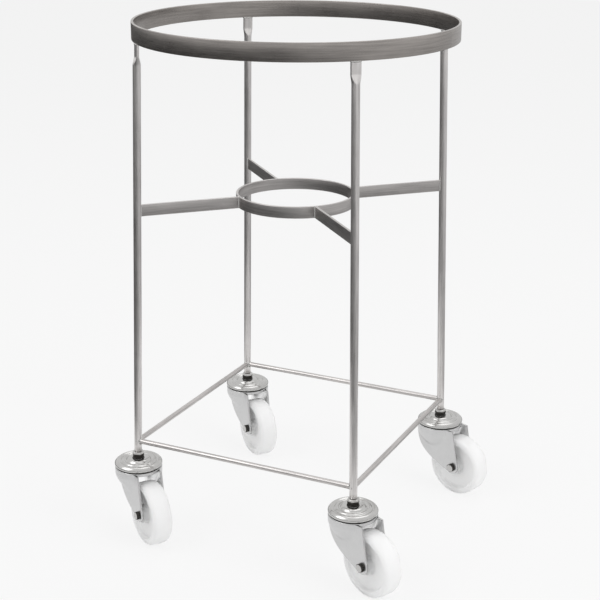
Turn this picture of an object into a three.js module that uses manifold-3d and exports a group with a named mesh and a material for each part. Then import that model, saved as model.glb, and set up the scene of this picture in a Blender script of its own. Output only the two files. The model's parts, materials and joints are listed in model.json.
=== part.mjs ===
// Wheeled ring stand for a hospital bowl or bucket: a flat-bar ring on four splayed rod legs, a small
// bar ring on spokes that carries the vessel's foot, a square of thin rails and four swivel castors.
// Millimetres, +Z up, origin on the floor under the axis of the rings, front of the stand towards -Y.
import * as THREE from 'three';
import { mergeVertices } from 'three/addons/utils/BufferGeometryUtils.js';
import Module from 'manifold-3d';

// Clearance left between two pieces that touch, and between pieces that turn on each other
const SEAT_GAP = 0.3;

// Top ring: flat bar rolled on edge
const STAND_HEIGHT = 640;
const RING_RADIUS = 195;
const RING_BAR_THICKNESS = 3;
const RING_BAR_HEIGHT = 21;

// Lower ring and its spokes: narrower flat bar on edge
const LOWER_RING_TOP = 429.5;
const LOWER_RING_RADIUS = 73.5;
const LOWER_BAR_THICKNESS = 3;
const LOWER_BAR_HEIGHT = 14.5;
const SPOKE_THICKNESS = 3;

// Legs: round rod, pinched flat under the ring and turned down to a threaded spigot at the foot
const LEG_DIAMETER = 9.5;
const LEG_SPLAY = 15.5;
const PINCH_THICKNESS = 4;
const PINCH_WIDTH = 12.2;
const PINCH_LENGTH = 13;
const PINCH_FLARE = 11;
const SPIGOT_DIAMETER = 8;
const SPIGOT_RUNOUT = 1.5;

// Rails: thin rods that tie the four legs into a square
const RAIL_HEIGHT = 124.5;
const RAIL_DIAMETER = 6.5;

// Castor wheel
const WHEEL_DIAMETER = 80;
const WHEEL_WIDTH = 26;
const WHEEL_SHOULDER = 4;
const WHEEL_RIM_DEPTH = 8.5;
const WHEEL_WEB = 13;
const WHEEL_FILLET = 2;
const HUB_DIAMETER = 22;
const TRAIL = 35;

// Castor fork: pressed from sheet, a round lipped crown whose shoulders run down into two swept cheeks
const FORK_SHEET = 2.5;
const CROWN_GAP = 9;
const CROWN_RADIUS = 29.5;
const CROWN_EDGE = 1;
const LIP_HEIGHT = 4;
const SHOULDER_DROP = 8;
const CHEEK_GAP = 29;
const CHEEK_REAR = 24;
const CHEEK_FRONT = 34.5;
const CHEEK_FRONT_DROP = 2.5;
const CHEEK_BACK_LENGTH = 9;
const CHEEK_BACK_PULL = 15;
const CHEEK_SWEEP_REACH = 7;
const CHEEK_SWEEP_PULL = 6;
const CHEEK_KNEE = 18;
const CHEEK_TIP_RADIUS = 9;
const CHEEK_TIP_START = -115;
const CHEEK_TIP_END = 8;

// Castor head: pressed cap over a ball ring
const BALL_DIAMETER = 4;
const BALL_COUNT = 7;
const BALL_CIRCLE_RADIUS = 20;
const CAGE_WIDTH = 3.6;
const CAGE_THICKNESS = 1;
const HEAD_SHEET = 2;
const HEAD_RADIUS = 29.8;
const HEAD_HUB_RADIUS = 14.5;
const HEAD_HUB_RISE = 3.8;
const HEAD_RIM_RISE = 1.7;
const HEAD_SKIRT_GAP = 0.9;

// Hollow king rivet and the fasteners on the spigot
const RIVET_DIAMETER = 14;
const RIVET_HEAD_DIAMETER = 22;
const RIVET_HEAD_THICKNESS = 2.5;
const WASHER_DIAMETER = 14;
const WASHER_THICKNESS = 2;
const NUT_ACROSS_FLATS = 13;
const NUT_HEIGHT = 6;

// Axle: bolt, nut and the sleeve that the wheel turns on
const AXLE_DIAMETER = 6;
const AXLE_HEAD_ACROSS_FLATS = 10;
const AXLE_HEAD_HEIGHT = 4;
const AXLE_NUT_HEIGHT = 5;
const AXLE_RUNOUT = 1;
const SLEEVE_DIAMETER = 10;

// Powers that square off a leg's section: round rod, half way and flat
const ROUND_POWER = 2;
const FLARE_POWER = 2.4;
const FLAT_POWER = 4;

// Points closer than this are one point
const MERGE_DISTANCE = 1e-4;

// Facets round each kind of turned piece
const RING_FACETS = 72;
const LOWER_RING_FACETS = 40;
const ROD_FACETS = 16;
const WHEEL_FACETS = 24;
const HEAD_FACETS = 24;
const SHOULDER_FACETS = 20;
const SMALL_FACETS = 12;
const OUTLINE_STEPS = 6;

// The four corners, with the way each castor points in the stand's frame, in degrees
const CORNERS = [
  { name: 'front_left', angle: 225, heading: -34.8 },
  { name: 'front_right', angle: 315, heading: -24.9 },
  { name: 'rear_right', angle: 45, heading: -17.7 },
  { name: 'rear_left', angle: 135, heading: -37.5 },
];

// Heights worked up from the floor
const AXLE_HEIGHT = WHEEL_DIAMETER / 2;
const CROWN_UNDERSIDE = WHEEL_DIAMETER + CROWN_GAP;
const CROWN_TOP = CROWN_UNDERSIDE + FORK_SHEET;
const BALL_HEIGHT = CROWN_TOP + SEAT_GAP + BALL_DIAMETER / 2;
const HEAD_UNDERSIDE = CROWN_TOP + BALL_DIAMETER + 2 * SEAT_GAP;
const HEAD_GROOVE = HEAD_UNDERSIDE + HEAD_SHEET;
const HEAD_TOP = HEAD_GROOVE + HEAD_HUB_RISE;
const WASHER_BASE = HEAD_TOP + SEAT_GAP;
const LOCK_NUT_BASE = WASHER_BASE + WASHER_THICKNESS + SEAT_GAP;
const LEG_FOOT = LOCK_NUT_BASE + NUT_HEIGHT + SEAT_GAP;
const RIVET_BASE = CROWN_UNDERSIDE - SEAT_GAP - RIVET_HEAD_THICKNESS;
const BASE_NUT_BASE = RIVET_BASE - SEAT_GAP - NUT_HEIGHT;
const LEG_TOP = STAND_HEIGHT - RING_BAR_HEIGHT - SEAT_GAP;

// Radii and half widths that neighbours share
const LEG_RADIUS = LEG_DIAMETER / 2;
const LEG_TOP_RADIUS = RING_RADIUS - RING_BAR_THICKNESS / 2;
const LEG_FOOT_RADIUS = LEG_TOP_RADIUS + LEG_SPLAY;
const CHEEK_HALF_WIDTH = CHEEK_GAP / 2 + FORK_SHEET;
const SPIGOT_BORE_RADIUS = SPIGOT_DIAMETER / 2 + SEAT_GAP;
const AXLE_BORE_RADIUS = AXLE_DIAMETER / 2 + SEAT_GAP;

// Finishes
function finish(color, roughness, metalness) {
  return new THREE.MeshStandardMaterial({ color, roughness, metalness });
}
const brushedSteel = finish(0x9a9a9a, 0.35, 1);
const polishedSteel = finish(0xc4c4c2, 0.12, 1);
const satinSteel = finish(0xb0b0b0, 0.28, 1);
const darkSteel = finish(0x3a3a3a, 0.5, 1);
const whiteNylon = finish(0xe6e6e4, 0.5, 0);

const wasm = await Module();
wasm.setup();

// A closed mesh as a solid that can be joined and cut
function toSolid(geometry) {
  geometry.deleteAttribute('normal');
  geometry.deleteAttribute('uv');
  const merged = mergeVertices(geometry, MERGE_DISTANCE);
  const vertProperties = new Float32Array(merged.attributes.position.array);
  const triVerts = new Uint32Array(merged.index.array);
  return new wasm.Manifold(new wasm.Mesh({ numProp: 3, vertProperties, triVerts }));
}

// A joined or cut solid as a mesh geometry again
function toGeometry(solid) {
  const mesh = solid.getMesh();
  const geometry = new THREE.BufferGeometry();
  geometry.setAttribute('position', new THREE.BufferAttribute(new Float32Array(mesh.vertProperties), 3));
  geometry.setIndex(new THREE.BufferAttribute(new Uint32Array(mesh.triVerts), 1));
  geometry.computeVertexNormals();
  return geometry;
}

function addPiece(group, name, geometry, material) {
  const mesh = new THREE.Mesh(geometry, material);
  mesh.name = name;
  group.add(mesh);
  return mesh;
}

// A profile of [radius, height] points, closed on itself, turned about +Z
function turned(profile, facets) {
  const points = [...profile, profile[0]].map(([radius, height]) => new THREE.Vector2(radius, height));
  return new THREE.LatheGeometry(points, facets).rotateX(Math.PI / 2);
}

// A plain tube or band about +Z
function band(innerRadius, outerRadius, base, top, facets) {
  const profile = [[innerRadius, base], [outerRadius, base], [outerRadius, top], [innerRadius, top]];
  return turned(profile, facets);
}

function extruded(shape, depth, curveSegments = 4) {
  return new THREE.ExtrudeGeometry(shape, { depth, curveSegments, bevelEnabled: false });
}

// A shape drawn in X and Z, given its thickness evenly about Y = 0
function cheekwise(shape, thickness, curveSegments) {
  return extruded(shape, thickness, curveSegments).rotateX(Math.PI / 2).translate(0, thickness / 2, 0);
}

function hexagon(acrossFlats) {
  const corners = [];
  for (let i = 0; i < 6; i += 1) {
    const angle = (i * Math.PI) / 3;
    const reach = acrossFlats / Math.sqrt(3);
    corners.push(new THREE.Vector2(reach * Math.cos(angle), reach * Math.sin(angle)));
  }
  return new THREE.Shape(corners);
}

function hexNut(acrossFlats, boreRadius, height) {
  const shape = hexagon(acrossFlats);
  shape.holes.push(new THREE.Path().absarc(0, 0, boreRadius, 0, 2 * Math.PI, true));
  return extruded(shape, height, SMALL_FACETS / 2);
}

// A level ring of points round [centre, 0, height]: an ellipse whose power squares it off
function levelRing(centre, height, radialHalf, tangentHalf, power) {
  const squared = (value) => Math.sign(value) * Math.abs(value) ** (ROUND_POWER / power);
  const ring = [];
  for (let i = 0; i < ROD_FACETS; i += 1) {
    const angle = (i * 2 * Math.PI) / ROD_FACETS;
    const radial = radialHalf * squared(Math.cos(angle));
    ring.push([centre + radial, tangentHalf * squared(Math.sin(angle)), height]);
  }
  return { ring, middle: [centre, 0, height] };
}

// Level rings, lowest first, skinned into one closed solid
function skinned(rings) {
  const count = rings[0].ring.length;
  const positions = rings.flatMap(({ ring }) => ring.flat());
  const index = [];
  for (let level = 0; level < rings.length; level += 1) {
    for (let i = 0; i < count; i += 1) {
      const here = level * count + i;
      const next = level * count + ((i + 1) % count);
      if (level < rings.length - 1) {
        index.push(here, next, next + count, here, next + count, here + count);
      }
    }
  }
  const lowest = positions.length / 3;
  const highest = lowest + 1;
  positions.push(...rings[0].middle, ...rings.at(-1).middle);
  for (let i = 0; i < count; i += 1) {
    const next = (i + 1) % count;
    const top = (rings.length - 1) * count;
    index.push(lowest, next, i, highest, top + i, top + next);
  }
  const geometry = new THREE.BufferGeometry();
  geometry.setAttribute('position', new THREE.Float32BufferAttribute(positions, 3));
  geometry.setIndex(index);
  geometry.computeVertexNormals();
  return geometry;
}

// Distance of a leg's axis from the stand's axis at a height
function legReach(height) {
  const share = (LEG_TOP - height) / (LEG_TOP - LEG_FOOT);
  return LEG_TOP_RADIUS + (LEG_FOOT_RADIUS - LEG_TOP_RADIUS) * share;
}

function legRing(height, radialHalf, tangentHalf, power) {
  return levelRing(legReach(height), height, radialHalf, tangentHalf, power);
}

// One leg, in the plane of its corner: spigot, plain rod, flare and pinched top
function legGeometry() {
  const spigotRadius = SPIGOT_DIAMETER / 2;
  const pinchBase = LEG_TOP - PINCH_LENGTH;
  const flareBase = pinchBase - PINCH_FLARE;
  const flareThickness = (LEG_RADIUS + PINCH_THICKNESS / 2) / 2;
  const flareWidth = (LEG_RADIUS + PINCH_WIDTH / 2) / 2;
  return skinned([
    legRingAtFoot(BASE_NUT_BASE - SPIGOT_RUNOUT, spigotRadius),
    legRingAtFoot(LEG_FOOT, spigotRadius),
    legRing(LEG_FOOT, LEG_RADIUS, LEG_RADIUS, ROUND_POWER),
    legRing(flareBase, LEG_RADIUS, LEG_RADIUS, ROUND_POWER),
    legRing(flareBase + PINCH_FLARE / 2, flareThickness, flareWidth, FLARE_POWER),
    legRing(pinchBase, PINCH_THICKNESS / 2, PINCH_WIDTH / 2, FLAT_POWER),
    legRing(LEG_TOP, PINCH_THICKNESS / 2, PINCH_WIDTH / 2, FLAT_POWER),
  ]);
}

// The spigot stands upright on the castor's axis
function legRingAtFoot(height, radius) {
  return levelRing(LEG_FOOT_RADIUS, height, radius, radius, ROUND_POWER);
}

// One spoke, from the lower ring's outside to the leg, its outer end cut to the leg's lean
function spokeGeometry() {
  const base = LOWER_RING_TOP - LOWER_BAR_HEIGHT;
  const inner = LOWER_RING_RADIUS + SEAT_GAP;
  const outerAt = (height) => legReach(height) - LEG_RADIUS - SEAT_GAP;
  const shape = new THREE.Shape();
  shape.moveTo(inner, base);
  shape.lineTo(outerAt(base), base);
  shape.lineTo(outerAt(LOWER_RING_TOP), LOWER_RING_TOP);
  shape.lineTo(inner, LOWER_RING_TOP);
  shape.closePath();
  return cheekwise(shape, SPOKE_THICKNESS);
}

// One rail along Y between two legs, its ends mouthed to the rods that they meet
function railGeometry() {
  const quarter = Math.PI / 4;
  const reach = legReach(RAIL_HEIGHT);
  const radius = RAIL_DIAMETER / 2;
  const rod = new THREE.CylinderGeometry(radius, radius, 2 * reach * Math.sin(quarter), ROD_FACETS);
  let rail = toSolid(rod.translate(reach * Math.cos(quarter), 0, RAIL_HEIGHT));
  const cutRadius = LEG_RADIUS + SEAT_GAP;
  const nutReach = NUT_ACROSS_FLATS / Math.sqrt(3) + SEAT_GAP;
  for (const side of [-1, 1]) {
    const legCut = skinned([
      legRing(RAIL_HEIGHT - RAIL_DIAMETER, cutRadius, cutRadius, ROUND_POWER),
      legRing(RAIL_HEIGHT + RAIL_DIAMETER, cutRadius, cutRadius, ROUND_POWER),
    ]);
    const nutCut = new THREE.CylinderGeometry(nutReach, nutReach, NUT_HEIGHT + 2 * SEAT_GAP, ROD_FACETS)
      .rotateX(Math.PI / 2)
      .translate(LEG_FOOT_RADIUS, 0, LOCK_NUT_BASE + NUT_HEIGHT / 2);
    rail = rail.subtract(toSolid(legCut.rotateZ(side * quarter)));
    rail = rail.subtract(toSolid(nutCut.rotateZ(side * quarter)));
  }
  return toGeometry(largestBody(rail));
}

// The stub of rod past the far side of a leg is left out
function largestBody(solid) {
  const bodies = solid.decompose();
  return bodies.reduce((best, body) => (body.volume() > best.volume() ? body : best));
}

// Castor head: a raised hub, a groove over the balls, a rolled rim and a short skirt, all of one sheet
function headGeometry() {
  const bore = RIVET_DIAMETER / 2 + SEAT_GAP;
  const rimTop = HEAD_GROOVE + HEAD_RIM_RISE;
  const skirtBase = CROWN_TOP + HEAD_SKIRT_GAP;
  const grooveRadius = HEAD_HUB_RADIUS + HEAD_HUB_RISE;
  const rimRadius = (grooveRadius + HEAD_RADIUS) / 2 + HEAD_SHEET;
  const wallRadius = HEAD_RADIUS - HEAD_SHEET;
  return turned([
    [bore, HEAD_TOP - HEAD_SHEET],
    [HEAD_HUB_RADIUS - HEAD_SHEET / 2, HEAD_TOP - HEAD_SHEET],
    [grooveRadius - HEAD_SHEET / 2, HEAD_UNDERSIDE],
    [rimRadius, HEAD_UNDERSIDE],
    [wallRadius, HEAD_UNDERSIDE - HEAD_SHEET / 2],
    [wallRadius - HEAD_SHEET / 4, skirtBase],
    [HEAD_RADIUS - HEAD_SHEET / 4, skirtBase],
    [HEAD_RADIUS, HEAD_GROOVE - HEAD_SHEET / 2],
    [HEAD_RADIUS - HEAD_SHEET / 2, HEAD_GROOVE + HEAD_SHEET / 2],
    [rimRadius, rimTop],
    [grooveRadius + HEAD_SHEET / 2, HEAD_GROOVE],
    [grooveRadius, HEAD_GROOVE],
    [HEAD_HUB_RADIUS, HEAD_TOP],
    [bore, HEAD_TOP],
  ], HEAD_FACETS);
}

// Hollow rivet that holds head, balls and fork together and lets the leg's spigot through
function rivetGeometry() {
  const neck = RIVET_DIAMETER / 2;
  const flange = RIVET_HEAD_DIAMETER / 2;
  return turned([
    [SPIGOT_BORE_RADIUS, RIVET_BASE],
    [flange, RIVET_BASE],
    [flange, RIVET_BASE + RIVET_HEAD_THICKNESS],
    [neck, RIVET_BASE + RIVET_HEAD_THICKNESS],
    [neck, HEAD_TOP],
    [SPIGOT_BORE_RADIUS, HEAD_TOP],
  ], SMALL_FACETS);
}

// Ball ring: the balls held in a flat cage
function ballRingGeometry() {
  const inner = BALL_CIRCLE_RADIUS - CAGE_WIDTH / 2;
  const outer = BALL_CIRCLE_RADIUS + CAGE_WIDTH / 2;
  const half = CAGE_THICKNESS / 2;
  let ring = toSolid(band(inner, outer, BALL_HEIGHT - half, BALL_HEIGHT + half, 2 * BALL_COUNT));
  for (let i = 0; i < BALL_COUNT; i += 1) {
    const angle = ((i + 0.5) * 2 * Math.PI) / BALL_COUNT;
    const ball = new THREE.SphereGeometry(BALL_DIAMETER / 2, 6, 3).rotateX(Math.PI / 2);
    ball.translate(BALL_CIRCLE_RADIUS * Math.cos(angle), BALL_CIRCLE_RADIUS * Math.sin(angle), BALL_HEIGHT);
    ring = ring.add(toSolid(ball));
  }
  return toGeometry(ring);
}

// Half outline of the fork's round upper part, set in by a thickness: crown, edge, lip and a shoulder
// that draws in to the cheeks
function shoulderProfile(inset, base) {
  const top = CROWN_TOP - inset;
  const radius = CROWN_RADIUS - inset;
  const waist = CHEEK_HALF_WIDTH - inset;
  const knee = AXLE_HEIGHT + CHEEK_KNEE;
  const shoulder = CROWN_TOP - SHOULDER_DROP;
  return [
    [0, base],
    [waist, base],
    [waist, knee],
    [radius, shoulder],
    [radius, top - CROWN_EDGE],
    [radius - CROWN_EDGE, top],
    [0, top],
  ];
}

function shoulderSolid(inset, base) {
  const points = shoulderProfile(inset, base).map(([radius, height]) => new THREE.Vector2(radius, height));
  return toSolid(new THREE.LatheGeometry(points, SHOULDER_FACETS).rotateX(Math.PI / 2));
}

// Side view of the fork: crown, lip, an upright back that sweeps forward to a round tip about the axle
function forkOutline() {
  const tipStart = THREE.MathUtils.degToRad(CHEEK_TIP_START);
  const tipEnd = THREE.MathUtils.degToRad(CHEEK_TIP_END);
  const above = CROWN_TOP + CROWN_EDGE;
  const lipBase = CROWN_TOP - LIP_HEIGHT;
  const beyond = CROWN_RADIUS + CROWN_EDGE;
  const tipX = TRAIL + CHEEK_TIP_RADIUS * Math.cos(tipStart);
  const tipZ = AXLE_HEIGHT + CHEEK_TIP_RADIUS * Math.sin(tipStart);
  const shape = new THREE.Shape();
  shape.moveTo(CHEEK_FRONT, CROWN_TOP - CHEEK_FRONT_DROP);
  shape.lineTo(beyond, above);
  shape.lineTo(-beyond, above);
  shape.lineTo(-beyond, lipBase);
  shape.lineTo(-CHEEK_REAR, lipBase);
  shape.lineTo(-CHEEK_REAR, CROWN_TOP - CHEEK_BACK_LENGTH);
  shape.bezierCurveTo(
    -CHEEK_REAR, AXLE_HEIGHT + CHEEK_BACK_PULL,
    -CHEEK_SWEEP_REACH, AXLE_HEIGHT + CHEEK_SWEEP_PULL,
    tipX, tipZ,
  );
  shape.absarc(TRAIL, AXLE_HEIGHT, CHEEK_TIP_RADIUS, tipStart, tipEnd, false);
  shape.closePath();
  return shape;
}

// A block between two corners
function block(low, high) {
  const size = high.map((value, i) => value - low[i]);
  const middle = high.map((value, i) => (value + low[i]) / 2);
  return toSolid(new THREE.BoxGeometry(...size).translate(...middle));
}

// The fork: shoulders and flat cheeks of one sheet, cut to the side view, open between the cheeks
function forkGeometry() {
  const reach = TRAIL + 2 * CHEEK_TIP_RADIUS;
  const inner = CHEEK_GAP / 2;
  const cheekTop = CROWN_TOP - CROWN_EDGE;
  const slotBase = AXLE_HEIGHT - 2 * CHEEK_TIP_RADIUS;
  const waistBase = AXLE_HEIGHT + CHEEK_TIP_RADIUS;
  let fork = shoulderSolid(0, waistBase);
  fork = fork.add(block([-CHEEK_REAR, -CHEEK_HALF_WIDTH, slotBase], [reach, CHEEK_HALF_WIDTH, cheekTop]));
  fork = fork.subtract(shoulderSolid(FORK_SHEET, slotBase));
  fork = fork.subtract(block([-2 * reach, -inner, 0], [2 * reach, inner, CROWN_TOP - LIP_HEIGHT]));
  fork = fork.subtract(block([CROWN_RADIUS, -inner, 0], [2 * reach, inner, 2 * CROWN_TOP]));
  fork = fork.subtract(block([-2 * reach, -inner, 0], [-CROWN_RADIUS, inner, 2 * CROWN_TOP]));
  fork = fork.intersect(toSolid(cheekwise(forkOutline(), 4 * CROWN_RADIUS, OUTLINE_STEPS)));
  const rivetBore = RIVET_DIAMETER / 2 + SEAT_GAP;
  const rivetHole = new THREE.CylinderGeometry(rivetBore, rivetBore, 4 * FORK_SHEET, SMALL_FACETS);
  rivetHole.rotateX(Math.PI / 2).translate(0, 0, CROWN_TOP);
  const axleReach = 4 * CROWN_RADIUS;
  const axleHole = new THREE.CylinderGeometry(AXLE_BORE_RADIUS, AXLE_BORE_RADIUS, axleReach, SMALL_FACETS);
  axleHole.translate(TRAIL, 0, AXLE_HEIGHT);
  return toGeometry(fork.subtract(toSolid(rivetHole)).subtract(toSolid(axleHole)));
}

// Wheel about Y: tread with rounded shoulders, rim, dished web and a hub between the cheeks.
// A flat of the faceted tread lies on the floor.
function wheelGeometry() {
  const tread = WHEEL_DIAMETER / 2 / Math.cos(Math.PI / WHEEL_FACETS);
  const bore = SLEEVE_DIAMETER / 2 + SEAT_GAP;
  const halfWidth = WHEEL_WIDTH / 2;
  const rimInside = tread - WHEEL_RIM_DEPTH;
  const hub = HUB_DIAMETER / 2;
  const hubHalf = CHEEK_GAP / 2 - SEAT_GAP;
  const webHalf = WHEEL_WEB / 2;
  const oneSide = [
    [bore, hubHalf],
    [hub, hubHalf],
    [hub + WHEEL_FILLET, webHalf],
    [rimInside - WHEEL_FILLET, webHalf],
    [rimInside, halfWidth],
    [tread - WHEEL_SHOULDER, halfWidth - WHEEL_SHOULDER / 4],
    [tread, halfWidth - 1.5 * WHEEL_SHOULDER],
  ];
  const otherSide = oneSide.map(([radius, across]) => [radius, -across]);
  const profile = [...otherSide, ...oneSide.reverse()];
  const points = [...profile, profile[0]].map(([radius, across]) => new THREE.Vector2(radius, across));
  return new THREE.LatheGeometry(points, WHEEL_FACETS, Math.PI / WHEEL_FACETS);
}

// Axle bolt about Y, its head outside the near cheek
function axleBoltGeometry() {
  const headFace = CHEEK_HALF_WIDTH + SEAT_GAP;
  const end = headFace + AXLE_NUT_HEIGHT + AXLE_RUNOUT;
  const overlap = AXLE_HEAD_HEIGHT / 2;
  const shankLength = headFace + overlap + end;
  const head = extruded(hexagon(AXLE_HEAD_ACROSS_FLATS), AXLE_HEAD_HEIGHT).rotateX(Math.PI / 2);
  const shank = new THREE.CylinderGeometry(AXLE_DIAMETER / 2, AXLE_DIAMETER / 2, shankLength, SMALL_FACETS);
  shank.translate(0, end - shankLength / 2, 0);
  return toGeometry(toSolid(head.translate(0, -headFace, 0)).add(toSolid(shank)));
}

function axleNutGeometry() {
  const nut = hexNut(AXLE_HEAD_ACROSS_FLATS, AXLE_BORE_RADIUS, AXLE_NUT_HEIGHT).rotateX(-Math.PI / 2);
  return nut.translate(0, CHEEK_HALF_WIDTH + SEAT_GAP, 0);
}

function sleeveGeometry() {
  const half = CHEEK_GAP / 2 - SEAT_GAP;
  return band(AXLE_BORE_RADIUS, SLEEVE_DIAMETER / 2, -half, half, SMALL_FACETS).rotateX(Math.PI / 2);
}

// Everything fixed to one leg's spigot: lock nut, washer, head, rivet, ball ring and base nut
function addSwivelHead(corner, name) {
  const place = new THREE.Group();
  place.position.x = LEG_FOOT_RADIUS;
  corner.add(place);
  const lockNut = hexNut(NUT_ACROSS_FLATS, SPIGOT_BORE_RADIUS, NUT_HEIGHT);
  const baseNut = hexNut(NUT_ACROSS_FLATS, SPIGOT_BORE_RADIUS, NUT_HEIGHT);
  const washerTop = WASHER_BASE + WASHER_THICKNESS;
  const washer = band(SPIGOT_BORE_RADIUS, WASHER_DIAMETER / 2, WASHER_BASE, washerTop, SMALL_FACETS);
  addPiece(place, `lock_nut_${name}`, lockNut.translate(0, 0, LOCK_NUT_BASE), polishedSteel);
  addPiece(place, `washer_${name}`, washer, darkSteel);
  addPiece(place, `castor_head_${name}`, headGeometry(), polishedSteel);
  addPiece(place, `king_rivet_${name}`, rivetGeometry(), satinSteel);
  addPiece(place, `ball_ring_${name}`, ballRingGeometry(), satinSteel);
  addPiece(place, `base_nut_${name}`, baseNut.translate(0, 0, BASE_NUT_BASE), satinSteel);
  return place;
}

// Everything that swivels: fork, axle bolt, axle nut and sleeve, and the wheel that turns on them
function addTrailingFork(place, name, turn) {
  const fork = new THREE.Group();
  fork.rotation.z = turn;
  place.add(fork);
  addPiece(fork, `fork_${name}`, forkGeometry(), satinSteel);
  const axle = new THREE.Group();
  axle.position.set(TRAIL, 0, AXLE_HEIGHT);
  fork.add(axle);
  addPiece(axle, `axle_bolt_${name}`, axleBoltGeometry(), polishedSteel);
  addPiece(axle, `axle_nut_${name}`, axleNutGeometry(), polishedSteel);
  addPiece(axle, `axle_sleeve_${name}`, sleeveGeometry(), satinSteel);
  addPiece(axle, `wheel_${name}`, wheelGeometry(), whiteNylon);
}

const stand = new THREE.Group();
const ringBase = STAND_HEIGHT - RING_BAR_HEIGHT;
const ringInside = RING_RADIUS - RING_BAR_THICKNESS;
addPiece(stand, 'top_ring', band(ringInside, RING_RADIUS, ringBase, STAND_HEIGHT, RING_FACETS), brushedSteel);
const lowerBase = LOWER_RING_TOP - LOWER_BAR_HEIGHT;
const lowerInside = LOWER_RING_RADIUS - LOWER_BAR_THICKNESS;
const lowerRing = band(lowerInside, LOWER_RING_RADIUS, lowerBase, LOWER_RING_TOP, LOWER_RING_FACETS);
addPiece(stand, 'lower_ring', lowerRing, brushedSteel);

for (const { name, angle, heading } of CORNERS) {
  const corner = new THREE.Group();
  corner.rotation.z = THREE.MathUtils.degToRad(angle);
  stand.add(corner);
  addPiece(corner, `leg_${name}`, legGeometry(), brushedSteel);
  addPiece(corner, `spoke_${name}`, spokeGeometry(), brushedSteel);
  const place = addSwivelHead(corner, name);
  addTrailingFork(place, name, THREE.MathUtils.degToRad(heading - angle));
}

// Rails, each named for the side of the square that it closes
const RAIL_SIDES = { front: -90, right: 0, rear: 90, left: 180 };
for (const [side, angle] of Object.entries(RAIL_SIDES)) {
  const sideGroup = new THREE.Group();
  sideGroup.rotation.z = THREE.MathUtils.degToRad(angle);
  stand.add(sideGroup);
  addPiece(sideGroup, `rail_${side}`, railGeometry(), brushedSteel);
}

export default stand;
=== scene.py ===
"""Wheeled ring stand: brushed rings, rod legs and four swivel castors."""
import json
from math import cos, pi, radians, sin

import bpy
import numpy as np
from bpy.props import FloatProperty, FloatVectorProperty, PointerProperty
from mathutils import Matrix, Vector


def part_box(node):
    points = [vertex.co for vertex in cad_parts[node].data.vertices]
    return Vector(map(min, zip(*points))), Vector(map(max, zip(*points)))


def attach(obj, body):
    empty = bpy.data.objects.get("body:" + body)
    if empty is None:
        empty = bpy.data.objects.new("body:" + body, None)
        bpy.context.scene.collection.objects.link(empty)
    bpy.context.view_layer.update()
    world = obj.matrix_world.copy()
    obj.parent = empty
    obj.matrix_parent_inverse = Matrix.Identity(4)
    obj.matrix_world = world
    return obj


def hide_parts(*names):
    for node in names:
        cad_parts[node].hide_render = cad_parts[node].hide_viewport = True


bl_info = {
    "name": "Wheeled ring stand",
    "version": (1, 0, 0),
    "blender": (4, 5, 0),
    "location": "View3D > Sidebar > Ring stand",
    "description": "Builds the finished surfaces of a wheeled hospital ring stand round its CAD frame",
    "category": "Add Mesh",
}

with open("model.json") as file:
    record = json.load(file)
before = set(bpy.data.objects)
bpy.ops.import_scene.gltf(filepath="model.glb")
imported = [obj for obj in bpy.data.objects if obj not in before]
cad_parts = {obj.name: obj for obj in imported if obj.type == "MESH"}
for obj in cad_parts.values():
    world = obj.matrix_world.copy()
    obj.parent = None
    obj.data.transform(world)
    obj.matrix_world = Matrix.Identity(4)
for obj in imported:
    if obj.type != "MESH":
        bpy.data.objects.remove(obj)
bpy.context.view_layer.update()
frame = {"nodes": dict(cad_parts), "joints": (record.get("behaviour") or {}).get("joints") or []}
TURN = 2 * pi
MM = 0.001
CENTRE = (0, 0, 0)

# Corners and joints of the frame
CORNERS = ("front_left", "front_right", "rear_right", "rear_left")
RAIL_ENDS = {
    "front": ("front_left", "front_right"),
    "right": ("front_right", "rear_right"),
    "rear": ("rear_right", "rear_left"),
    "left": ("rear_left", "front_left"),
}
INNER_PIECES = ("king_rivet", "ball_ring", "base_nut", "axle_sleeve")
JOINTS = {joint["name"]: joint for joint in frame["joints"]}


def joint_place(name):
    """The point that a joint turns about, as an array."""
    return np.array(JOINTS[name]["pos_m"], float)


def node_span(name):
    """Lowest and highest level of a CAD node."""
    low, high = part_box(name)
    return low.z, high.z


# Sizes and levels that the frame gives
RING_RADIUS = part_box("top_ring")[1].x
RING_BASE, RING_TOP = node_span("top_ring")
LOWER_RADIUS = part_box("lower_ring")[1].x
LOWER_BASE, LOWER_TOP = node_span("lower_ring")
SPIGOT_BASE, LEG_TOP = node_span("leg_front_left")
NUT_BASE, NUT_TOP = node_span("lock_nut_front_left")
LEG_FOOT = NUT_TOP
WASHER_BASE, WASHER_TOP = node_span("washer_front_left")
HEAD_BASE, HEAD_TOP = node_span("castor_head_front_left")
HEAD_RADIUS = 0.5 * (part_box("castor_head_front_left")[1].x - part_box("castor_head_front_left")[0].x)
WHEEL_RADIUS = joint_place("roll_front_left")[2]
RAIL_BASE, RAIL_TOP = node_span("rail_front")
RAIL_LEVEL = 0.5 * (RAIL_BASE + RAIL_TOP)
RAIL_RADIUS = 0.5 * (RAIL_TOP - RAIL_BASE)
CROWN_TOP = node_span("fork_front_left")[1]
FOOT_REACH = float(np.hypot(*joint_place("swivel_front_left")[:2]))
TRAIL = float(np.linalg.norm((joint_place("roll_front_left") - joint_place("swivel_front_left"))[:2]))


def metres(name, description, default):
    """A setting that is a length."""
    return FloatProperty(name=name, description=description, default=default, unit="LENGTH")


def angle_setting(name, description, default):
    """A setting that is an angle, in radians."""
    return FloatProperty(name=name, description=description, default=default, subtype="ANGLE")


def plain_setting(name, description, default):
    """A setting that is a plain number of 0 or more."""
    return FloatProperty(name=name, description=description, default=default, min=0)


def colour_setting(name, description, default):
    """A setting that is a colour, as linear values."""
    return FloatVectorProperty(name=name, description=description, default=default, subtype="COLOR",
                               min=0, max=1)


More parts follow.
